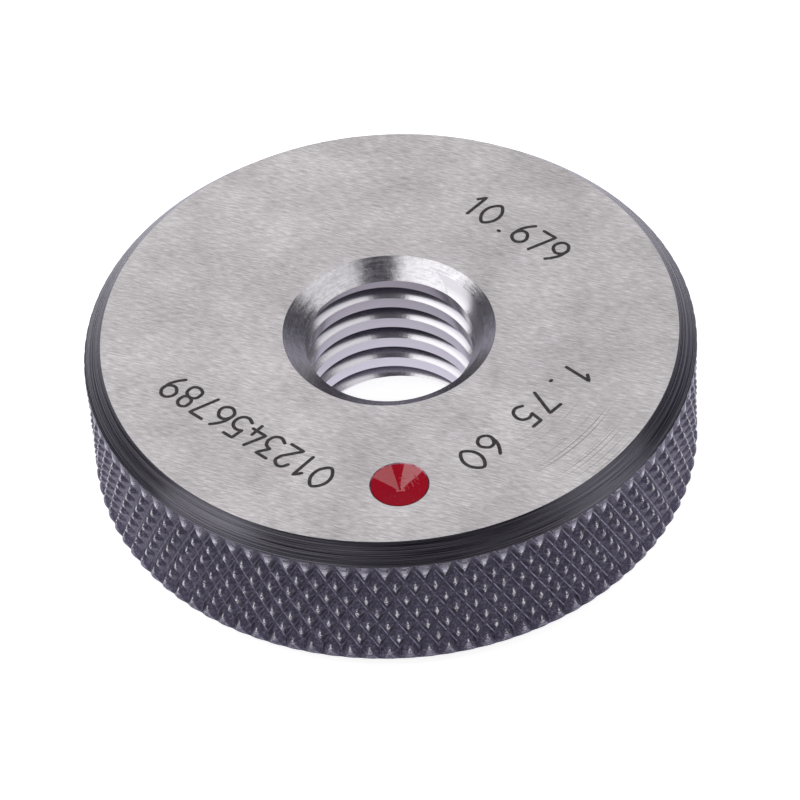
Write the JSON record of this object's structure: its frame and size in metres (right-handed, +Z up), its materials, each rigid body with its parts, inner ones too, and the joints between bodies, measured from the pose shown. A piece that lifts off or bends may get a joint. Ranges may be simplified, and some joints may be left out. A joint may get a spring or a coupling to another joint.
{
  "type": "thread ring gauge",
  "caption": "Not-go thread ring gauge: a hardened steel ring with a diamond-knurled rim, a countersunk threaded bore and a red lacquer mark in a dimple.",
  "frame": {"origin": "centre of the threaded bore at the lower rest face", "axes": "+Z up along the bore, from the rest face to the marked face; -Y towards the lacquer mark"},
  "size_m": [0.038, 0.038, 0.0103],
  "materials": {
    "hardened_steel": "ground faces and lapped thread, black-oxide rim and chamfers",
    "red_lacquer": "glossy lacquer"
  },
  "bodies": {
    "root": {"gauge_ring": "hardened_steel", "lacquer_mark": "red_lacquer"}
  },
  "joints": []
}
